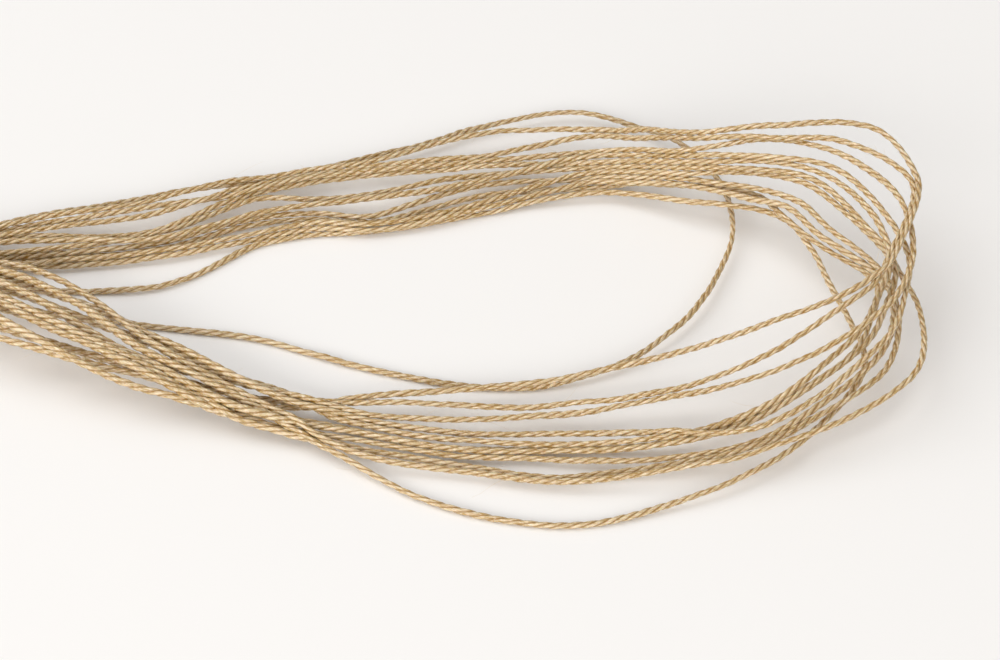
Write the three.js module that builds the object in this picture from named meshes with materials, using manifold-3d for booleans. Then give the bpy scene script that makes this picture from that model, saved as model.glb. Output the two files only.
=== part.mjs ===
// Hank of fine plied thread, wound twelve times into a loose figure of eight and lying flat.
// Millimetres, +Z up, X along the hank and Y across it. The origin lies on the surface that the
// hank rests on, under the place where the two bundles of turns cross.
// The turns run side by side as one lobed, slowly twisting bundle, and stand apart as single
// threads in the wide loop. All of it is one solid.
import * as THREE from 'three';
import { mergeVertices } from 'three/addons/utils/BufferGeometryUtils.js';
import Module from 'manifold-3d';

// Driving dimensions
const THREAD_DIAMETER = 0.7;
const THREAD_SIDES = 6;
const THREAD_STEP = 4;
const BUNDLE_STEP = 4.5;
const BUNDLE_LOBES = 8;
const LOBE_DEPTH = 0.2;
const BUNDLE_SINK = 0.25;
const THREAD_COLOUR = [0.6, 0.42, 0.25];
const THREAD_ROUGHNESS = 0.6;
const CUTTER_SIZE = 400;
const FULL_TURN = 360;

// Each turn of thread: its level among the others where they spread, 0 lowest and 1 highest, and
// its place round the bundle, as an angle in degrees.
const TURNS = {
  inner: { level: 0.1, place: 215 },
  top: { level: 1, place: 185 },
  second: { level: 0.95, place: 155 },
  third: { level: 0.85, place: 80 },
  fourth: { level: 0.75, place: 50 },
  fifth: { level: 0.65, place: 125 },
  sixth: { level: 0.55, place: 320 },
  spare: { level: 0.1, place: 245 },
  seventh: { level: 0.3, place: 275 },
  eighth: { level: 0.2, place: 290 },
  wide: { level: 0.45, place: 20 },
  lowest: { level: 0, place: 350 },
};

// Bundle sections of the small loop and the crossing, where the turns lie packed together.
// side is the direction across the bundle, to the right of the way the thread runs, in degrees.
const SMALL_LOOP_OUT = [
  { name: 'far end', x: -75.5, y: 3.5, side: 0, width: 4.8, height: 1.9, middle: 1.3, twist: 140 },
  { name: 'left high', x: -69, y: 15.5, side: -48, width: 4.8, height: 1.9, middle: 1.3, twist: 120 },
  { name: 'left top', x: -53, y: 22.5, side: -82, width: 4.8, height: 1.9, middle: 1.3, twist: 80 },
  { name: 'left slope', x: -33, y: 20, side: -107, width: 4.8, height: 1.9, middle: 1.4, twist: 20 },
  { name: 'left near', x: -15, y: 11, side: -122, width: 4.8, height: 2.1, middle: 2.6, twist: -50 },
  { name: 'over', x: 0, y: 0.5, side: -127, width: 5.6, height: 2.4, middle: 3.8, twist: -120 },
  { name: 'front neck', x: 19.5, y: -11.5, side: -124, width: 11, height: 1.4, middle: 5.2, twist: -200 },
  { name: 'front middle', x: 35.4, y: -20.2, side: -116, width: 7.4, height: 1.4, middle: 3.9, twist: -235 },
  { name: 'front end', x: 47, y: -24.8, side: -109, width: 6.2, height: 1.3, middle: 2.2, twist: -290 },
];
const SMALL_LOOP_BACK = [
  { name: 'under', x: 0, y: 0, side: 102, width: 5.2, height: 1.6, middle: 1.15, twist: 0 },
  { name: 'low near', x: -17, y: -5, side: 103, width: 4.8, height: 1.8, middle: 1.25, twist: 35 },
  { name: 'low middle', x: -35, y: -10, side: 102, width: 4.8, height: 1.9, middle: 1.3, twist: 70 },
  { name: 'low far', x: -52, y: -12.5, side: 90, width: 4.8, height: 1.9, middle: 1.3, twist: 105 },
  { name: 'low end', x: -68, y: -8.5, side: 48, width: 4.8, height: 1.9, middle: 1.3, twist: 140 },
];

// Open sections of the wide loop, where the turns spread. x and y give the inner side, and each
// turn's lane is its distance from there in the direction side. low and high are the middles of
// the lowest and highest thread. bundle gives the lanes between which the threads touch.
const LANE_TURNS = [
  'top', 'second', 'third', 'fourth', 'fifth', 'sixth', 'spare', 'seventh', 'eighth', 'wide', 'lowest',
];
const WIDE_LOOP = [
  { name: 'fan start', x: 57, y: -24, side: -90, low: 0.9, high: 2.2, bundle: [0, 8],
    lanes: [0, 0.8, 1.8, 2.6, 3.2, 4.6, 3.8, 5.4, 6.4, 7.6, 8.8] },
  { name: 'fan left', x: 67, y: -24, side: -90, low: 0.35, high: 1.8,
    lanes: [-1.6, 0.5, 2.7, 4.5, 5.8, 7, 6.2, 7.6, 8.6, 9.8, 14.9] },
  { name: 'fan middle', x: 77, y: -24, side: -90, low: 0.35, high: 1.9,
    lanes: [-3, 0.9, 2.1, 4.9, 6.6, 7.3, 6.2, 8.1, 10.8, 11.7, 17.3] },
  { name: 'fan right', x: 87, y: -22, side: -90, low: 0.6, high: 3.2,
    lanes: [-2.7, 2.8, 3.3, 7.8, 8.9, 9.5, 7.8, 10.7, 11.6, 13.4, 17.4] },
  { name: 'fan turn', x: 96, y: -18, side: -80, low: 1.4, high: 5.5,
    lanes: [0.1, 4.9, 6.6, 13.5, 10.4, 10.9, 8.5, 13, 13.8, 15.3, 15.9] },
  { name: 'end front', x: 102, y: -12, side: -45, low: 2.4, high: 8.5,
    lanes: [5.8, 6.9, 9.9, 12.8, 9.6, 10.6, 8.9, 12, 13.4, 16.9, 10.8] },
  { name: 'end corner', x: 105, y: -9, side: -30, low: 2.9, high: 9.5,
    lanes: [7.3, 7.5, 9.9, 10.5, 7.7, 8.4, 7.2, 9.5, 10.2, 12.5, 4.6] },
  { name: 'end low', x: 107, y: -6, side: -15, low: 3.4, high: 10.5,
    lanes: [7.4, 7.2, 8.9, 8.4, 6.5, 6.7, 5.5, 6.1, 5.9, 7.5, 0.5] },
  { name: 'end side', x: 108, y: 0, side: 10, low: 4, high: 11.8,
    lanes: [9.2, 8.5, 6.3, 3.9, 3, 2, -1.8, -0.4, -1.4, 1.9, -2.2] },
  { name: 'end high', x: 106, y: 6, side: 35, low: 4.2, high: 12,
    lanes: [8.8, 4.6, 3.2, 1.6, 0.6, 0.2, -3.4, -1.9, -3, -0.4, -2.9] },
  { name: 'arc right', x: 100, y: 8, side: 60, low: 3.4, high: 11,
    lanes: [5.6, 3.3, 4.2, 1.7, 1.7, 1.6, 1.4, 0.3, -0.9, 1.7, -0.4] },
  { name: 'arc middle', x: 92, y: 10, side: 80, low: 2.2, high: 8,
    lanes: [5.8, 5.5, 3.4, 3.3, 2.9, 2.6, 2.9, 2.7, 2.3, 2.6, 0.9] },
  { name: 'arc far', x: 87, y: 11, side: 86, low: 1.5, high: 5,
    lanes: [9.7, 8.6, 6.4, 5.7, 5.2, 4.7, 3.6, 3.9, 3.4, 4.2, 2.1] },
  { name: 'arc left', x: 82, y: 12, side: 90, low: 1, high: 2.8, bundle: [2, 7.7],
    lanes: [12.4, 11, 7.7, 6.9, 6.2, 5.6, 3.1, 4.1, 3.5, 4.8, 2] },
  { name: 'rear right', x: 70, y: 8, side: 97, low: 0.4, high: 2.4, bundle: [2.7, 11.3],
    lanes: [15.6, 11.3, 10.8, 7.1, 10.3, 8.7, 5.7, 7.6, 2.9, 3.6, 2.7] },
  { name: 'rear middle', x: 58, y: 5, side: 100, low: 0.4, high: 2.2, bundle: [2.3, 12.9],
    lanes: [12.9, 12.6, 12, 6.8, 12, 8, 3.9, 4.3, 2.3, 2.5, 2.3] },
  { name: 'rear between', x: 52, y: 4, side: 101.5, low: 0.4, high: 2.2, bundle: [2.8, 12.9],
    lanes: [12.9, 12.2, 11.6, 6.4, 11.4, 8.4, 5.9, 6.2, 3.3, 3.9, 2.8] },
  { name: 'rear left', x: 46, y: 3, side: 103, low: 0.4, high: 2.2, bundle: [2.3, 12.3],
    lanes: [12.3, 10.7, 10.3, 5.9, 10.1, 9.4, 5.8, 6.1, 2.9, 3, 2.3] },
  { name: 'rear far', x: 34, y: 1, side: 103, low: 0.4, high: 2.2, bundle: [0.9, 9.6],
    lanes: [9.6, 7.4, 8.5, 3.2, 4.9, 4.3, 2.9, 3.3, 0.9, 1.4, -4] },
  { name: 'rear end', x: 18, y: -0.5, side: 102, low: 0.4, high: 2.4, bundle: [0.6, 6.4],
    lanes: [6, 4.6, 6.3, 3.8, 4.8, 2.2, 2.1, 2.1, 0.7, 0.6, -2.2] },
];

// The inner turn leaves the bundle and lies by itself inside the wide loop.
const INNER_TURN = [
  { x: 12, y: -6.5, z: 3.4 },
  { x: 23, y: -8.4, z: 1.2 },
  { x: 34, y: -9.6, z: 0.4 },
  { x: 45.4, y: -11.9, z: 0.36 },
  { x: 55, y: -16, z: 0.36 },
  { x: 61.6, y: -18.3, z: 0.36 },
  { x: 70, y: -20.2, z: 0.4 },
  { x: 78, y: -19.7, z: 0.6 },
  { x: 86.7, y: -15.4, z: 0.9 },
  { x: 92.9, y: -7.8, z: 1.1 },
  { x: 96.1, y: -1, z: 1.3 },
  { x: 97.9, y: 5.5, z: 1.5 },
  { x: 97.7, y: 12.5, z: 1.6 },
  { x: 95.8, y: 18.6, z: 1.6 },
  { x: 92.3, y: 23.9, z: 1.5 },
  { x: 88, y: 27.2, z: 1.3 },
  { x: 81.3, y: 30.1, z: 1.1 },
  { x: 72, y: 28.2, z: 1 },
  { x: 62, y: 23.2, z: 1.2 },
  { x: 52, y: 18.6, z: 1.4 },
  { x: 43.8, y: 15.6, z: 1.4 },
  { x: 33, y: 12.6, z: 1.5 },
  { x: 18, y: 7, z: 2.2 },
];

// Stretches where single threads run outside the bundle, from one section to another. The late
// turns join the rear bundle farther along it than the others, and one turn strays out of it again.
const OPEN_RUN = { from: 'front end', to: 'rear right' };
const LONG_RUN = { from: 'front end', to: 'rear left' };
const LATE_TURNS = ['top', 'second'];
const REAR_STRAY = { turn: 'lowest', from: 'rear middle', to: 'under' };

const threadMaterial = new THREE.MeshStandardMaterial({
  color: new THREE.Color(...THREAD_COLOUR),
  roughness: THREAD_ROUGHNESS,
  metalness: 0,
});

const SECTIONS = [...SMALL_LOOP_OUT, ...WIDE_LOOP, ...SMALL_LOOP_BACK];

function sideDirection(section) {
  const angle = THREE.MathUtils.degToRad(section.side);
  return new THREE.Vector3(Math.cos(angle), Math.sin(angle), 0);
}

function offsetPoint(section, across, height) {
  const point = new THREE.Vector3(section.x, section.y, height);
  return point.addScaledVector(sideDirection(section), across);
}

// How far across a flat bundle a turn lies, falling evenly from 1 to -1 over half a twist.
function spread(angle) {
  return 1 - (2 * Math.acos(Math.cos(angle))) / Math.PI;
}

// The middle of one turn's thread where it passes a section.
function threadPoint(section, turnName) {
  const turn = TURNS[turnName];
  if (section.lanes) {
    const lane = section.lanes[LANE_TURNS.indexOf(turnName)];
    const height = THREE.MathUtils.lerp(section.low, section.high, turn.level);
    return offsetPoint(section, lane, height);
  }
  const angle = THREE.MathUtils.degToRad(turn.place + section.twist);
  const across = (section.width / 2) * spread(angle);
  const height = section.middle + (section.height / 2) * Math.sin(angle);
  return offsetPoint(section, across, height);
}

function sectionsBetween(fromName, toName) {
  const first = SECTIONS.findIndex((section) => section.name === fromName);
  const last = SECTIONS.findIndex((section) => section.name === toName);
  return SECTIONS.slice(first, last + 1);
}

function threadRoute(turnName, run) {
  return sectionsBetween(run.from, run.to).map((section) => threadPoint(section, turnName));
}

function innerRoute() {
  const stray = INNER_TURN.map((point) => new THREE.Vector3(point.x, point.y, point.z));
  const [over] = sectionsBetween('over', 'over');
  const [under] = sectionsBetween('under', 'under');
  return [threadPoint(over, 'inner'), ...stray, threadPoint(under, 'inner')];
}

// A many-sided tube along a smooth curve through the route's points.
function threadTube(route) {
  const curve = new THREE.CatmullRomCurve3(route, false, 'centripetal');
  const outline = new THREE.Shape();
  for (let corner = 0; corner < THREAD_SIDES; corner += 1) {
    const angle = (corner / THREAD_SIDES) * 2 * Math.PI;
    const x = (THREAD_DIAMETER / 2) * Math.cos(angle);
    const y = (THREAD_DIAMETER / 2) * Math.sin(angle);
    if (corner === 0) {
      outline.moveTo(x, y);
    } else {
      outline.lineTo(x, y);
    }
  }
  const steps = Math.ceil(curve.getLength() / THREAD_STEP);
  return new THREE.ExtrudeGeometry(outline, { steps, bevelEnabled: false, extrudePath: curve });
}

// The bundle's middle, size and twist at a section, whichever way the section is given.
function bundleAt(section) {
  if (!section.lanes) {
    return {
      centre: offsetPoint(section, 0, section.middle - BUNDLE_SINK),
      halfWidth: (section.width + THREAD_DIAMETER) / 2,
      halfHeight: (section.height + THREAD_DIAMETER) / 2,
      twist: section.twist,
    };
  }
  const [inner, outer] = section.bundle;
  return {
    centre: offsetPoint(section, (inner + outer) / 2, (section.low + section.high) / 2 - BUNDLE_SINK),
    halfWidth: (outer - inner + THREAD_DIAMETER) / 2,
    halfHeight: (section.high - section.low + THREAD_DIAMETER) / 2,
    twist: 0,
  };
}

function bundleSections() {
  const rear = sectionsBetween('arc left', 'rear end');
  const [fanStart] = sectionsBetween('fan start', 'fan start');
  return [...rear, ...SMALL_LOOP_BACK, ...SMALL_LOOP_OUT, fanStart];
}

// One ring of the bundle: crests and valleys in turn, carried round by the twist.
function bundleRing(centre, tangent, halfWidth, halfHeight, twist) {
  const side = new THREE.Vector3(tangent.y, -tangent.x, 0).normalize();
  const up = new THREE.Vector3().crossVectors(side, tangent).normalize();
  const ring = [];
  const corners = 2 * BUNDLE_LOBES;
  for (let corner = 0; corner < corners; corner += 1) {
    const angle = (corner / corners) * 2 * Math.PI + THREE.MathUtils.degToRad(twist);
    const reach = corner % 2 === 0 ? 1 : 1 - LOBE_DEPTH;
    const point = centre.clone();
    point.addScaledVector(side, reach * halfWidth * Math.cos(angle));
    point.addScaledVector(up, reach * halfHeight * Math.sin(angle));
    ring.push(point);
  }
  return ring;
}

// Rings all along the bundle, from the wide loop's rear, round the small loop, to its front.
function bundleRings() {
  const stations = bundleSections().map(bundleAt);
  for (let index = 1; index < stations.length; index += 1) {
    const jump = stations[index].twist - stations[index - 1].twist;
    stations[index].twist -= Math.round(jump / FULL_TURN) * FULL_TURN;
  }
  const curve = new THREE.CatmullRomCurve3(stations.map((station) => station.centre), false, 'centripetal');
  const spans = stations.length - 1;
  const rings = [];
  for (let span = 0; span < spans; span += 1) {
    const before = stations[span];
    const after = stations[span + 1];
    const steps = Math.ceil(before.centre.distanceTo(after.centre) / BUNDLE_STEP);
    const lastStep = span === spans - 1 ? steps : steps - 1;
    for (let step = 0; step <= lastStep; step += 1) {
      const share = step / steps;
      const place = (span + share) / spans;
      rings.push(bundleRing(
        curve.getPoint(place),
        curve.getTangent(place),
        THREE.MathUtils.lerp(before.halfWidth, after.halfWidth, share),
        THREE.MathUtils.lerp(before.halfHeight, after.halfHeight, share),
        THREE.MathUtils.lerp(before.twist, after.twist, share),
      ));
    }
  }
  return rings;
}

// A closed skin over a row of rings, with a fan of faces over each end.
function skinOverRings(rings) {
  const corners = rings[0].length;
  const positions = [];
  const faces = [];
  rings.flat().forEach((point) => positions.push(point.x, point.y, point.z));
  for (let row = 0; row < rings.length - 1; row += 1) {
    for (let corner = 0; corner < corners; corner += 1) {
      const next = (corner + 1) % corners;
      const here = row * corners;
      const ahead = here + corners;
      faces.push(here + corner, ahead + corner, ahead + next);
      faces.push(here + corner, ahead + next, here + next);
    }
  }
  const ends = [{ row: 0, isFirst: true }, { row: rings.length - 1, isFirst: false }];
  ends.forEach(({ row, isFirst }) => {
    const centre = new THREE.Vector3();
    rings[row].forEach((point) => centre.addScaledVector(point, 1 / corners));
    const centreIndex = positions.length / 3;
    positions.push(centre.x, centre.y, centre.z);
    for (let corner = 0; corner < corners; corner += 1) {
      const here = row * corners + corner;
      const next = row * corners + (corner + 1) % corners;
      faces.push(...(isFirst ? [centreIndex, here, next] : [centreIndex, next, here]));
    }
  });
  const geometry = new THREE.BufferGeometry();
  geometry.setAttribute('position', new THREE.Float32BufferAttribute(positions, 3));
  geometry.setIndex(faces);
  return geometry;
}

const wasm = await Module();
wasm.setup();

function toSolid(geometry) {
  const bare = geometry.clone();
  bare.deleteAttribute('normal');
  bare.deleteAttribute('uv');
  const merged = mergeVertices(bare);
  return new wasm.Manifold(new wasm.Mesh({
    numProp: 3,
    vertProperties: Float32Array.from(merged.attributes.position.array),
    triVerts: Uint32Array.from(merged.index.array),
  }));
}

function toGeometry(solid) {
  const mesh = solid.getMesh();
  const geometry = new THREE.BufferGeometry();
  geometry.setAttribute('position', new THREE.Float32BufferAttribute(mesh.vertProperties, 3));
  geometry.setIndex(Array.from(mesh.triVerts));
  geometry.computeVertexNormals();
  return geometry;
}

// Everything below the surface that the hank rests on, taken away so that what touches it is flat.
function belowSurface() {
  const box = new THREE.BoxGeometry(CUTTER_SIZE, CUTTER_SIZE, CUTTER_SIZE);
  box.translate(0, 0, -CUTTER_SIZE / 2);
  return toSolid(box);
}

function hankGeometry() {
  let hank = toSolid(skinOverRings(bundleRings()));
  LANE_TURNS.forEach((turnName) => {
    const run = LATE_TURNS.includes(turnName) ? LONG_RUN : OPEN_RUN;
    hank = hank.add(toSolid(threadTube(threadRoute(turnName, run))));
  });
  hank = hank.add(toSolid(threadTube(threadRoute(REAR_STRAY.turn, REAR_STRAY))));
  hank = hank.add(toSolid(threadTube(innerRoute())));
  hank = hank.subtract(belowSurface());
  return toGeometry(hank);
}

const hank = new THREE.Mesh(hankGeometry(), threadMaterial);
hank.name = 'hank';

const part = new THREE.Group();
part.add(hank);

export default part;
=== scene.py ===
import math

import bpy
import numpy as np
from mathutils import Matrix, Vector
from mathutils.kdtree import KDTree


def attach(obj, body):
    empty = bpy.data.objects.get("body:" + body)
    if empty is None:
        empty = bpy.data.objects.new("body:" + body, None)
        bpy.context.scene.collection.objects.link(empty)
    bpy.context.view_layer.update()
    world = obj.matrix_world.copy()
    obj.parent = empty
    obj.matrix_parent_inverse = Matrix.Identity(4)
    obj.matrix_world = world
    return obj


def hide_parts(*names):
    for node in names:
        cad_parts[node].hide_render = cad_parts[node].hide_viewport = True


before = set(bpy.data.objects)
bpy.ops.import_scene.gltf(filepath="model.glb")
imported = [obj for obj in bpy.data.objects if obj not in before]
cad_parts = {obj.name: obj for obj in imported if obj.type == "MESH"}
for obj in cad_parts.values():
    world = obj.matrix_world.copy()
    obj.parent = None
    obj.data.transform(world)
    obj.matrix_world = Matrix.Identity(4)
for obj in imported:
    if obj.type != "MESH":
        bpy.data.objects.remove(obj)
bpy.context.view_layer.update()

# Hank of fine plied thread, wound twelve times into a loose figure of eight.
# The tables repeat the solids' sections in millimetres, and MM brings them to metres.
MM = 0.001
SEED = 7

# The thread: three plies, each a helix pressed against the other two, turning like an S.
THREAD_RADIUS = 0.355
PLIES = 3
PLY_PITCH = 4.5
PLY_SHARE = 0.55
POINTS_PER_PLY = 6
RINGS_PER_PITCH = 14
RADIUS_VARIATION = 0.07
RADIUS_WAVE = 2.5
PITCH_VARIATION = 0.9
PITCH_WAVE = 9.0

# Along this line of the front bundle the thread is thicker, which closes the bundle.
THICK_START = (6, -3)
THICK_END = (42, -23)
THICK_REACH = 6.5
THICK_SWELL = 0.3

# How the thread lies: its spacing of path points, its small bends, and how turns push apart.
PATH_STEP = 0.5
CURVE_SAMPLES = 40
BUNDLE_DISORDER = 0.3
LONG_BENDS = (3.0, 0.1)
SHORT_BENDS = (1.1, 0.03)
CONTACT_DISTANCE = 0.68
SETTLE_ROUNDS = 40
OWN_NEIGHBOURS = 4
SHIFT_SMOOTHING = 1.5
RING_SMOOTHING = 1
BELL_HALF_WIDTH = 3
TINY = 1e-6

# Loose fibres that stand off the thread, as thin spikes.
SHORT_FIBRES = 3200
LONG_FIBRES = 110
SHORT_FIBRE_LENGTH = (0.3, 0.9)
LONG_FIBRE_LENGTH = (1.5, 4.5)
FIBRE_RADIUS = 0.015
FIBRE_STEPS = 5
FIBRE_CORNERS = 3
FIBRE_TIP = 0.3
FIBRE_ROOT = 0.8
FIBRE_RISE = (0.15, 0.9)
FIBRE_BEND_OUT = (-0.5, 0.5)
FIBRE_BEND_ASIDE = (-0.9, 0.9)

# Each turn: its level where the turns spread, 0 lowest and 1 highest, and its place round the
# bundle, in degrees.
TURNS = {
    "inner": (0.1, 215),
    "top": (1, 185),
    "second": (0.95, 155),
    "third": (0.85, 80),
    "fourth": (0.75, 50),
    "fifth": (0.65, 125),
    "sixth": (0.55, 320),
    "spare": (0.1, 245),
    "seventh": (0.3, 275),
    "eighth": (0.2, 290),
    "wide": (0.45, 20),
    "lowest": (0, 350),
}
WINDING_ORDER = (
    "inner", "top", "second", "fifth", "third", "fourth",
    "wide", "sixth", "lowest", "eighth", "seventh", "spare",
)

# Bundle sections: side is the direction across the bundle in degrees.
BUNDLE_COLUMNS = ("name", "x", "y", "side", "width", "height", "middle", "twist")
SMALL_LOOP_OUT = (
    ("far end", -75.5, 3.5, 0, 4.8, 1.9, 1.3, 140),
    ("left high", -69, 15.5, -48, 4.8, 1.9, 1.3, 120),
    ("left top", -53, 22.5, -82, 4.8, 1.9, 1.3, 80),
    ("left slope", -33, 20, -107, 4.8, 1.9, 1.4, 20),
    ("left near", -15, 11, -122, 4.8, 2.1, 2.6, -50),
    ("over", 0, 0.5, -127, 5.6, 2.4, 3.8, -120),
    ("front neck", 19.5, -11.5, -124, 11, 1.4, 5.2, -200),
    ("front middle", 35.4, -20.2, -116, 7.4, 1.4, 3.9, -235),
    ("front end", 47, -24.8, -109, 6.2, 1.3, 2.2, -290),
)
SMALL_LOOP_BACK = (
    ("under", 0, 0, 102, 5.2, 1.6, 1.15, 0),
    ("low near", -17, -5, 103, 4.8, 1.8, 1.25, 35),
    ("low middle", -35, -10, 102, 4.8, 1.9, 1.3, 70),
    ("low far", -52, -12.5, 90, 4.8, 1.9, 1.3, 105),
    ("low end", -68, -8.5, 48, 4.8, 1.9, 1.3, 140),
)

# Open sections: x and y give the inner side, a lane is a turn's distance from there in the
# direction side, and low and high are the middles of the lowest and highest thread.
LANE_TURNS = (
    "top", "second", "third", "fourth", "fifth", "sixth",
    "spare", "seventh", "eighth", "wide", "lowest",
)
OPEN_COLUMNS = ("name", "x", "y", "side", "low", "high", "lanes")
WIDE_LOOP = (
    ("fan start", 57, -24, -90, 0.9, 2.2,
     (0, 0.8, 1.8, 2.6, 3.2, 4.6, 3.8, 5.4, 6.4, 7.6, 8.8)),
    ("fan left", 67, -24, -90, 0.35, 1.8,
     (-1.6, 0.5, 2.7, 4.5, 5.8, 7, 6.2, 7.6, 8.6, 9.8, 14.9)),
    ("fan middle", 77, -24, -90, 0.35, 1.9,
     (-3, 0.9, 2.1, 4.9, 6.6, 7.3, 6.2, 8.1, 10.8, 11.7, 17.3)),
    ("fan right", 87, -22, -90, 0.6, 3.2,
     (-2.7, 2.8, 3.3, 7.8, 8.9, 9.5, 7.8, 10.7, 11.6, 13.4, 17.4)),
    ("fan turn", 96, -18, -80, 1.4, 5.5,
     (0.1, 4.9, 6.6, 13.5, 10.4, 10.9, 8.5, 13, 13.8, 15.3, 15.9)),
    ("end front", 102, -12, -45, 2.4, 8.5,
     (5.8, 6.9, 9.9, 12.8, 9.6, 10.6, 8.9, 12, 13.4, 16.9, 10.8)),
    ("end corner", 105, -9, -30, 2.9, 9.5,
     (7.3, 7.5, 9.9, 10.5, 7.7, 8.4, 7.2, 9.5, 10.2, 12.5, 4.6)),
    ("end low", 107, -6, -15, 3.4, 10.5,
     (7.4, 7.2, 8.9, 8.4, 6.5, 6.7, 5.5, 6.1, 5.9, 7.5, 0.5)),
    ("end side", 108, 0, 10, 4, 11.8,
     (9.2, 8.5, 6.3, 3.9, 3, 2, -1.8, -0.4, -1.4, 1.9, -2.2)),
    ("end high", 106, 6, 35, 4.2, 12,
     (8.8, 4.6, 3.2, 1.6, 0.6, 0.2, -3.4, -1.9, -3, -0.4, -2.9)),
    ("arc right", 100, 8, 60, 3.4, 11,
     (5.6, 3.3, 4.2, 1.7, 1.7, 1.6, 1.4, 0.3, -0.9, 1.7, -0.4)),
    ("arc middle", 92, 10, 80, 2.2, 8,
     (5.8, 5.5, 3.4, 3.3, 2.9, 2.6, 2.9, 2.7, 2.3, 2.6, 0.9)),
    ("arc far", 87, 11, 86, 1.5, 5,
     (9.7, 8.6, 6.4, 5.7, 5.2, 4.7, 3.6, 3.9, 3.4, 4.2, 2.1)),
    ("arc left", 82, 12, 90, 1, 2.8,
     (12.4, 11, 7.7, 6.9, 6.2, 5.6, 3.1, 4.1, 3.5, 4.8, 2)),
    ("rear right", 70, 8, 97, 0.4, 2.4,
     (15.6, 11.3, 10.8, 7.1, 10.3, 8.7, 5.7, 7.6, 2.9, 3.6, 2.7)),
    ("rear middle", 58, 5, 100, 0.4, 2.2,
     (12.9, 12.6, 12, 6.8, 12, 8, 3.9, 4.3, 2.3, 2.5, 2.3)),
    ("rear between", 52, 4, 101.5, 0.4, 2.2,
     (12.9, 12.2, 11.6, 6.4, 11.4, 8.4, 5.9, 6.2, 3.3, 3.9, 2.8)),
    ("rear left", 46, 3, 103, 0.4, 2.2,
     (12.3, 10.7, 10.3, 5.9, 10.1, 9.4, 5.8, 6.1, 2.9, 3, 2.3)),
    ("rear far", 34, 1, 103, 0.4, 2.2,
     (9.6, 7.4, 8.5, 3.2, 4.9, 4.3, 2.9, 3.3, 0.9, 1.4, -4)),
    ("rear end", 18, -0.5, 102, 0.4, 2.4,
     (6, 4.6, 6.3, 3.8, 4.8, 2.2, 2.1, 2.1, 0.7, 0.6, -2.2)),
)

# The inner turn leaves the bundle and lies by itself inside the wide loop.
INNER_TURN = (
    (12, -6.5, 3.4), (23, -8.4, 1.2), (34, -9.6, 0.4), (45.4, -11.9, 0.36),
    (55, -16, 0.36), (61.6, -18.3, 0.36), (70, -20.2, 0.4), (78, -19.7, 0.6),
    (86.7, -15.4, 0.9), (92.9, -7.8, 1.1), (96.1, -1, 1.3), (97.9, 5.5, 1.5),
    (97.7, 12.5, 1.6), (95.8, 18.6, 1.6), (92.3, 23.9, 1.5), (88, 27.2, 1.3),
    (81.3, 30.1, 1.1), (72, 28.2, 1), (62, 23.2, 1.2), (52, 18.6, 1.4),
    (43.8, 15.6, 1.4), (33, 12.6, 1.5), (18, 7, 2.2),
)

# Camera: it looks along +Y and down, at this point of the floor.
TARGET = (72, -10, 0)
CAMERA_ELEVATION = 38
CAMERA_DISTANCE = 297
LENS = 100
SENSOR = 36
NEAREST_SEEN = 0.01

# Colours are linear.
THREAD_LIGHT = (0.84, 0.71, 0.5, 1)
THREAD_DARK = (0.38, 0.215, 0.03, 1)
# Painted shade: the darker colour painted into the grooves between the plies.
GROOVE_SHADE_COLOUR = (0.3, 0.14, 0.006, 1)
FIBRE_COLOUR = (0.72, 0.58, 0.42, 1)
FLOOR_COLOUR = (0.92, 0.905, 0.89, 1)

# Noise: its scale in three directions, on the thread along it and twice across it, and its detail.
STREAK_NOISE = ((1.1, 9, 9), 3)
PATCH_NOISE = ((0.12, 0.6, 0.6), 2)
LOOSE_FIBRE_NOISE = ((300, 300, 300), 1)

# Ranges of the noise and of the plies' height, and what they are brought to.
STREAK_RANGE = (0.36, 0.68)
PATCH_RANGE = (0.45, 0.75)
PATCH_SHARES = (0, 0.45)
# The plies' height over which the painted groove shade fades into the thread's colour.
GROOVE_SHADE_RANGE = (0, 0.75)
GLOSS_RANGE = (0.3, 0.7)
GLOSS_ROUGHNESS = (0.46, 0.28)
FULL_SHARES = (0, 1)

# Surfaces: roughness, the relief of the streaks, and the thread's lustre.
THREAD_ROUGHNESS = 0.42
FIBRE_ROUGHNESS = 0.45
FLOOR_ROUGHNESS = 0.55
FLOOR_REFLECTION = 0.3
RELIEF_STRENGTH = 0.5
RELIEF_DEPTH = 0.03
THREAD_LUSTRE = {
    "Specular IOR Level": 0.55,
    "Coat Weight": 0.6,
    "Coat Roughness": 0.18,
    "Subsurface Weight": 0.4,
    "Subsurface Radius": (1, 0.6, 0.3),
    "Subsurface Scale": 0.1 * MM,
    "Sheen Weight": 0.05,
    "Sheen Roughness": 0.4,
    "Sheen Tint": (1, 0.88, 0.7, 1),
}

# Stage, in metres: half the floor's side, and each light's name, place, size, power and colour.
FLOOR_REACH = 3.0
LIGHTS = (
    ("window", (-0.8, 0.4, 1.15), (1.6, 1.6), 12.6, (1, 0.995, 0.985)),
    ("front", (-0.35, -1.05, 0.5), (1.5, 0.4), 9.5, (1, 0.985, 0.965)),
)

# The light from all round goes from its front strength to its back strength over this range.
WORLD_COLOUR = (1, 0.99, 0.98, 1)
WORLD_RANGE = (-0.6, 0.6)
WORLD_STRENGTHS = (0.7, 0.34)

rng = np.random.default_rng(SEED)


def rows(columns, table):
    return [dict(zip(columns, row)) for row in table]


def side_direction(section):
    angle = math.radians(section["side"])
    return np.array((math.cos(angle), math.sin(angle), 0.0))


def spread(angle):
    """How far across a flat bundle a turn lies, falling evenly from 1 to -1 over half a twist."""
    return 1 - 2 * math.acos(math.cos(angle)) / math.pi


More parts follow.
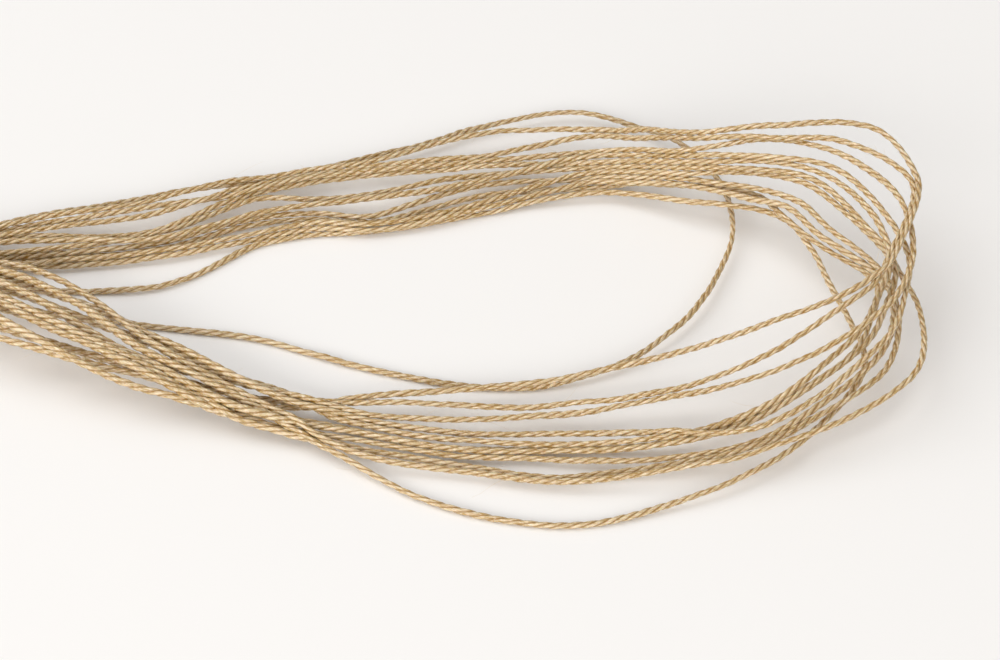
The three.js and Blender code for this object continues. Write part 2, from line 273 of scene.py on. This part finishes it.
def thread_point(section, turn_name):
    """The middle of one turn's thread where it passes a section."""
    level, place = TURNS[turn_name]
    if "lanes" in section:
        across = section["lanes"][LANE_TURNS.index(turn_name)]
        height = section["low"] + (section["high"] - section["low"]) * level
    else:
        angle = math.radians(place + section["twist"])
        across = section["width"] / 2 * spread(angle)
        height = section["middle"] + section["height"] / 2 * math.sin(angle)
        across += rng.uniform(-BUNDLE_DISORDER, BUNDLE_DISORDER)
        height += rng.uniform(-BUNDLE_DISORDER, BUNDLE_DISORDER)
    point = np.array((section["x"], section["y"], height))
    return point + side_direction(section) * across


def bundle_middle(section):
    return np.array((section["x"], section["y"], section["middle"]))


def turn_points(turn_name):
    """The points that one turn passes, from the far end of the small loop all the way round."""
    out = rows(BUNDLE_COLUMNS, SMALL_LOOP_OUT)
    back = rows(BUNDLE_COLUMNS, SMALL_LOOP_BACK)
    if turn_name == "inner":
        names = [section["name"] for section in out]
        out = out[: names.index("over") + 1]
        between = [np.array(point, float) for point in INNER_TURN]
    else:
        wide = rows(OPEN_COLUMNS, WIDE_LOOP)
        between = [thread_point(section, turn_name) for section in wide]
    start = [thread_point(section, turn_name) for section in out]
    end = [thread_point(section, turn_name) for section in back]
    return start + between + end


def thread_route():
    """All turns end to end, and the index of the point at which each turn begins."""
    last_section = rows(BUNDLE_COLUMNS, SMALL_LOOP_BACK)[-1]
    first_section = rows(BUNDLE_COLUMNS, SMALL_LOOP_OUT)[0]
    points = [bundle_middle(last_section)]
    starts = []
    for turn_name in WINDING_ORDER:
        starts.append(len(points))
        points.extend(turn_points(turn_name))
    points.append(bundle_middle(first_section))
    starts[0] = 0
    return np.array(points), starts


def smooth_curve(points):
    """Centripetal Catmull-Rom samples through the points, as in the solids."""
    first = 2 * points[0] - points[1]
    last = 2 * points[-1] - points[-2]
    padded = np.vstack((first, points, last))
    share = (np.arange(CURVE_SAMPLES) / CURVE_SAMPLES)[:, None]
    samples = []
    for p0, p1, p2, p3 in zip(padded, padded[1:], padded[2:], padded[3:]):
        before = math.sqrt(np.linalg.norm(p1 - p0))
        here = math.sqrt(np.linalg.norm(p2 - p1))
        after = math.sqrt(np.linalg.norm(p3 - p2))
        m1 = (p2 - p1) + here * ((p1 - p0) / before - (p2 - p0) / (before + here))
        m2 = (p2 - p1) + here * ((p3 - p2) / after - (p3 - p1) / (here + after))
        cubic = 2 * (p1 - p2) + m1 + m2
        square = -3 * (p1 - p2) - 2 * m1 - m2
        samples.append(cubic * share**3 + square * share**2 + m1 * share + p1)
    samples.append(points[-1:])
    return np.vstack(samples)


def lengths_along(path):
    steps = np.linalg.norm(np.diff(path, axis=0), axis=1)
    return np.concatenate(((0.0,), np.cumsum(steps)))


def at_lengths(path, along, wanted):
    return np.stack([np.interp(wanted, along, path[:, axis]) for axis in range(3)], axis=1)


def smoothed(values, reach):
    """Values smoothed along the thread with a bell curve whose reach is counted in points."""
    half = int(math.ceil(BELL_HALF_WIDTH * reach))
    bell = np.exp(-0.5 * (np.arange(-half, half + 1) / reach) ** 2)
    bell /= bell.sum()
    padded = np.pad(values, ((half, half), (0, 0)), mode="edge")
    columns = [np.convolve(padded[:, axis], bell, mode="valid") for axis in range(values.shape[1])]
    return np.stack(columns, axis=1)


def waves(count, columns, reach, size):
    """Smooth random values along the thread with the standard deviation size."""
    values = smoothed(rng.standard_normal((count, columns)), reach)
    return values * (size / values.std())


def contact_pushes(path):
    """How far each point is pushed away from the threads that it overlaps."""
    tree = KDTree(len(path))
    for index, point in enumerate(path):
        tree.insert(point, index)
    tree.balance()
    here = []
    there = []
    for index, point in enumerate(path):
        for _, other, _ in tree.find_range(point, CONTACT_DISTANCE):
            if abs(index - other) > OWN_NEIGHBOURS:
                here.append(index)
                there.append(other)
    push = np.zeros_like(path)
    if here:
        apart = path[here] - path[there]
        distance = np.linalg.norm(apart, axis=1)[:, None] + TINY
        np.add.at(push, here, apart / distance * (CONTACT_DISTANCE - distance) / 2)
    return push


def settle(path):
    """Push overlapping turns apart and up off the floor, bending each thread smoothly."""
    shift = np.zeros_like(path)
    for _ in range(SETTLE_ROUNDS):
        shift += smoothed(contact_pushes(path + shift), SHIFT_SMOOTHING)
        shift[:, 2] += np.maximum(THREAD_RADIUS - (path + shift)[:, 2], 0)
    return path + smoothed(shift, SHIFT_SMOOTHING)


def thread_path():
    """The settled middle line of the thread at even steps, and where each turn begins."""
    points, starts = thread_route()
    samples = smooth_curve(points)
    along = lengths_along(samples)
    count = int(along[-1] / PATH_STEP)
    even = np.linspace(0, along[-1], count)
    path = at_lengths(samples, along, even)
    for reach, size in (LONG_BENDS, SHORT_BENDS):
        path += waves(count, 3, reach / PATH_STEP, size)
    path = settle(path)
    start_lengths = along[np.array(starts) * CURVE_SAMPLES]
    settled_along = lengths_along(path)
    start_lengths = np.interp(start_lengths, even, settled_along)
    spacing = PLY_PITCH / RINGS_PER_PITCH
    rings = int(settled_along[-1] / spacing)
    wanted = np.arange(rings) * spacing
    path = smoothed(at_lengths(path, settled_along, wanted), RING_SMOOTHING)
    return path, start_lengths / spacing


def ply_outline():
    """Distance from the thread's middle to its outside, for each point round one ring."""
    offset = 1 - PLY_SHARE
    count = PLIES * POINTS_PER_PLY
    lobe = 2 * math.pi / PLIES
    angles = np.arange(count) / count * 2 * math.pi
    from_crest = np.mod(angles, lobe) - lobe / 2
    chord = np.sqrt(PLY_SHARE**2 - (offset * np.sin(from_crest)) ** 2)
    return angles, offset * np.cos(from_crest) + chord


def front_swell(path):
    """How many times thicker the thread is at each point, by its distance in plan from the line."""
    start = np.array(THICK_START)
    line = np.array(THICK_END) - start
    from_start = path[:, :2] - start
    share = np.clip(from_start @ line / (line @ line), 0, 1)
    distance = np.linalg.norm(from_start - share[:, None] * line, axis=1)
    return 1 + THICK_SWELL * np.exp(-((distance / THICK_REACH) ** 2))[:, None]


class Sweep:
    """Rings of points round the thread's path, with the values its material reads."""

    def __init__(self, path):
        tangent = np.gradient(path, axis=0)
        tangent /= np.linalg.norm(tangent, axis=1)[:, None]
        side = np.cross(tangent, (0, 0, 1))
        side /= np.linalg.norm(side, axis=1)[:, None]
        up = np.cross(side, tangent)
        spacing = PLY_PITCH / RINGS_PER_PITCH
        along = np.arange(len(path)) * spacing
        drift = waves(len(path), 1, PITCH_WAVE / spacing, PITCH_VARIATION)
        swell = 1 + waves(len(path), 1, RADIUS_WAVE / spacing, RADIUS_VARIATION)
        angles, outline = ply_outline()
        turned = angles[None, :] + 2 * math.pi * along[:, None] / PLY_PITCH + drift
        reach = THREAD_RADIUS * swell * front_swell(path) * outline[None, :]
        across = reach * np.cos(turned)
        height = reach * np.sin(turned)
        self.path = path
        self.tangent = tangent
        self.side = side
        self.up = up
        self.points = (
            path[:, None, :]
            + side[:, None, :] * across[:, :, None]
            + up[:, None, :] * height[:, :, None]
        )
        stretch = np.broadcast_to(along[:, None], across.shape)
        self.fibre = np.stack((stretch, across, height), axis=2)
        # The plies' height at each point, from groove to crest; the material paints shade into the
        # grooves from it.
        crest = (outline - outline.min()) / (outline.max() - outline.min())
        self.crest = np.broadcast_to(crest[None, :], across.shape)


def ring_faces(rings, corners):
    """Quads between neighbouring rings, and one face over each end."""
    row = np.arange(rings - 1)[:, None] * corners
    corner = np.arange(corners)[None, :]
    following = (corner + 1) % corners
    quads = np.stack(
        (row + corner, row + following, row + corners + following, row + corners + corner), axis=2
    )
    faces = quads.reshape(-1, 4).tolist()
    faces.append(list(range(corners))[::-1])
    last = (rings - 1) * corners
    faces.append(list(range(last, last + corners)))
    return faces


def new_piece(name, vertices, faces, material):
    mesh = bpy.data.meshes.new(name)
    mesh.from_pydata(vertices.tolist(), [], faces)
    mesh.polygons.foreach_set("use_smooth", np.ones(len(mesh.polygons), bool))
    mesh.materials.append(material)
    piece = bpy.data.objects.new(name, mesh)
    bpy.context.scene.collection.objects.link(piece)
    return piece


def add_turn(name, sweep, first, last, material):
    """One turn of the thread, as its own piece, in place of the wound solid."""
    points = sweep.points[first : last + 1]
    rings, corners = points.shape[:2]
    piece = new_piece(name, points.reshape(-1, 3) * MM, ring_faces(rings, corners), material)
    mesh = piece.data
    fibre = mesh.attributes.new("fibre", "FLOAT_VECTOR", "POINT")
    fibre.data.foreach_set("vector", sweep.fibre[first : last + 1].astype(np.float32).ravel())
    crest = mesh.attributes.new("crest", "FLOAT", "POINT")
    crest.data.foreach_set("value", sweep.crest[first : last + 1].astype(np.float32).ravel())
    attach(piece, "root")
    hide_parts("hank")


def fibre_points(sweep, length):
    """The middle line of one loose fibre, which leaves the thread and bends."""
    ring = rng.integers(len(sweep.path))
    turn = rng.uniform(0, 2 * math.pi)
    outward = sweep.side[ring] * math.cos(turn) + sweep.up[ring] * math.sin(turn)
    sideways = np.cross(outward, sweep.tangent[ring])
    heading = sweep.tangent[ring] * rng.choice((-1, 1)) + outward * rng.uniform(*FIBRE_RISE)
    heading /= np.linalg.norm(heading)
    bend = outward * rng.uniform(*FIBRE_BEND_OUT) + sideways * rng.uniform(*FIBRE_BEND_ASIDE)
    share = np.linspace(0, 1, FIBRE_STEPS)[:, None]
    start = sweep.path[ring] + outward * THREAD_RADIUS * FIBRE_ROOT
    line = start + length * (heading * share + bend * share**2 / 2)
    line[:, 2] = np.maximum(line[:, 2], 2 * FIBRE_RADIUS)
    return line


def add_fibres(sweep, material):
    """All loose fibres as one piece of thin three-sided spikes that taper to the tip."""
    lengths = np.concatenate((
        rng.uniform(*SHORT_FIBRE_LENGTH, SHORT_FIBRES),
        rng.uniform(*LONG_FIBRE_LENGTH, LONG_FIBRES),
    ))
    angles = np.arange(FIBRE_CORNERS) / FIBRE_CORNERS * 2 * math.pi
    taper = FIBRE_RADIUS * np.linspace(1, FIBRE_TIP, FIBRE_STEPS)[:, None, None]
    vertices = []
    faces = []
    for length in lengths:
        line = fibre_points(sweep, length)
        tangent = line[-1] - line[0]
        across = np.cross(tangent, (0, 0, 1))
        across /= np.linalg.norm(across) + TINY
        upward = np.cross(across, tangent / np.linalg.norm(tangent))
        base = len(vertices) * FIBRE_STEPS * FIBRE_CORNERS
        ring = across * np.cos(angles)[:, None] + upward * np.sin(angles)[:, None]
        vertices.append((line[:, None, :] + ring[None] * taper).reshape(-1, 3))
        for face in ring_faces(FIBRE_STEPS, FIBRE_CORNERS):
            faces.append([base + corner for corner in face])
    piece = new_piece("loose_fibres", np.vstack(vertices) * MM, faces, material)
    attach(piece, "root")


def new_material(name, roughness):
    material = bpy.data.materials.new(name)
    material.use_nodes = True
    shader = material.node_tree.nodes["Principled BSDF"]
    shader.inputs["Roughness"].default_value = roughness
    return material, material.node_tree, shader


def scaled_noise(tree, source, scale, detail):
    """Noise over a vector that is stretched by its own scale in each direction."""
    stretch = tree.nodes.new("ShaderNodeVectorMath")
    stretch.operation = "MULTIPLY"
    stretch.inputs[1].default_value = scale
    tree.links.new(source, stretch.inputs[0])
    noise = tree.nodes.new("ShaderNodeTexNoise")
    noise.inputs["Scale"].default_value = 1
    noise.inputs["Detail"].default_value = detail
    tree.links.new(stretch.outputs["Vector"], noise.inputs["Vector"])
    return noise.outputs["Fac"]


def mixed_colour(tree, share, first, second):
    """A colour between two others, each a constant or another node's output."""
    mix = tree.nodes.new("ShaderNodeMix")
    mix.data_type = "RGBA"
    colour_inputs = [socket for socket in mix.inputs if socket.type == "RGBA"]
    for socket, value in zip(colour_inputs, (first, second)):
        if isinstance(value, tuple):
            socket.default_value = value
        else:
            tree.links.new(value, socket)
    tree.links.new(share, mix.inputs["Factor"])
    return [socket for socket in mix.outputs if socket.type == "RGBA"][0]


def ramped(tree, value, source_range, result_range):
    """A value brought from one range to another and held inside it."""
    ramp = tree.nodes.new("ShaderNodeMapRange")
    limits = ("From Min", "From Max", "To Min", "To Max")
    for name, limit in zip(limits, (*source_range, *result_range)):
        ramp.inputs[name].default_value = limit
    tree.links.new(value, ramp.inputs["Value"])
    return ramp.outputs["Result"]


def attribute_node(tree, name):
    node = tree.nodes.new("ShaderNodeAttribute")
    node.attribute_name = name
    return node


def thread_colour_and_groove_shade(tree, fibre, streaks):
    """Light and dark streaks with pale patches, and painted shade in the grooves between the plies.
    """
    patches = scaled_noise(tree, fibre, *PATCH_NOISE)
    streak_share = ramped(tree, streaks, STREAK_RANGE, FULL_SHARES)
    body = mixed_colour(tree, streak_share, THREAD_DARK, THREAD_LIGHT)
    patch_share = ramped(tree, patches, PATCH_RANGE, PATCH_SHARES)
    body = mixed_colour(tree, patch_share, body, THREAD_LIGHT)
    # Painted shade: the colour darkens towards the grooves, where the plies' height is low.
    crest = attribute_node(tree, "crest").outputs["Fac"]
    crest_share = ramped(tree, crest, GROOVE_SHADE_RANGE, FULL_SHARES)
    return mixed_colour(tree, crest_share, GROOVE_SHADE_COLOUR, body)


def streak_relief(tree, streaks):
    bump = tree.nodes.new("ShaderNodeBump")
    bump.inputs["Strength"].default_value = RELIEF_STRENGTH
    bump.inputs["Distance"].default_value = RELIEF_DEPTH * MM
    tree.links.new(streaks, bump.inputs["Height"])
    return bump.outputs["Normal"]


def thread_material():
    """Lustrous golden tan fibres that run along the thread, with painted shade between the plies.
    """
    material, tree, shader = new_material("plied_thread", THREAD_ROUGHNESS)
    fibre = attribute_node(tree, "fibre").outputs["Vector"]
    streaks = scaled_noise(tree, fibre, *STREAK_NOISE)
    roughness = ramped(tree, streaks, GLOSS_RANGE, GLOSS_ROUGHNESS)
    tree.links.new(thread_colour_and_groove_shade(tree, fibre, streaks), shader.inputs["Base Color"])
    tree.links.new(roughness, shader.inputs["Roughness"])
    tree.links.new(streak_relief(tree, streaks), shader.inputs["Normal"])
    for name, value in THREAD_LUSTRE.items():
        shader.inputs[name].default_value = value
    return material


def fibre_material():
    """Single fibres, paler than the thread because the light comes through them."""
    material, tree, shader = new_material("loose_fibre", FIBRE_ROUGHNESS)
    place = tree.nodes.new("ShaderNodeTexCoord")
    tone = scaled_noise(tree, place.outputs["Object"], *LOOSE_FIBRE_NOISE)
    colour = mixed_colour(tree, tone, THREAD_LIGHT, FIBRE_COLOUR)
    tree.links.new(colour, shader.inputs["Base Color"])
    return material


def add_floor():
    material, _, shader = new_material("pale_floor", FLOOR_ROUGHNESS)
    shader.inputs["Base Color"].default_value = FLOOR_COLOUR
    shader.inputs["Specular IOR Level"].default_value = FLOOR_REFLECTION
    corners = np.array(((-1, -1, 0), (1, -1, 0), (1, 1, 0), (-1, 1, 0))) * FLOOR_REACH
    floor = new_piece("floor", corners, [[0, 1, 2, 3]], material)


def aim(thing, target):
    """Turn a light or the camera towards a place."""
    direction = Vector(target) - thing.location
    thing.rotation_euler = direction.to_track_quat("-Z", "Y").to_euler()


def add_light(name, place, size, power, colour):
    light = bpy.data.lights.new(name, "AREA")
    light.shape = "RECTANGLE"
    light.size, light.size_y = size
    light.energy = power
    light.color = colour
    lamp = bpy.data.objects.new(name, light)
    bpy.context.scene.collection.objects.link(lamp)
    lamp.location = place
    aim(lamp, tuple(value * MM for value in TARGET))


def add_world():
    """Soft light from all round, brighter in front of the hank than behind it."""
    world = bpy.data.worlds.new("studio")
    world.use_nodes = True
    tree = world.node_tree
    background = tree.nodes["Background"]
    background.inputs["Color"].default_value = WORLD_COLOUR
    place = tree.nodes.new("ShaderNodeTexCoord")
    parts = tree.nodes.new("ShaderNodeSeparateXYZ")
    tree.links.new(place.outputs["Generated"], parts.inputs["Vector"])
    strength = ramped(tree, parts.outputs["Y"], WORLD_RANGE, WORLD_STRENGTHS)
    tree.links.new(strength, background.inputs["Strength"])
    bpy.context.scene.world = world


def add_camera():
    data = bpy.data.cameras.new("camera")
    data.lens = LENS
    data.sensor_width = SENSOR
    data.clip_start = NEAREST_SEEN
    camera = bpy.data.objects.new("camera", data)
    bpy.context.scene.collection.objects.link(camera)
    elevation = math.radians(CAMERA_ELEVATION)
    target = Vector(TARGET) * MM
    back = Vector((0, -math.cos(elevation), math.sin(elevation)))
    camera.location = target + back * CAMERA_DISTANCE * MM
    aim(camera, target)
    bpy.context.scene.camera = camera


def add_hank():
    path, starts = thread_path()
    sweep = Sweep(path)
    material = thread_material()
    ends = [int(round(start)) for start in starts[1:]] + [len(path) - 1]
    first = 0
    for number, last in enumerate(ends, 1):
        add_turn(f"turn_{number:02d}", sweep, first, last, material)
        first = last
    add_fibres(sweep, fibre_material())


add_camera()
add_hank()
add_floor()
for light_row in LIGHTS:
    add_light(*light_row)
add_world()
bpy.context.scene.view_settings.view_transform = "Standard"
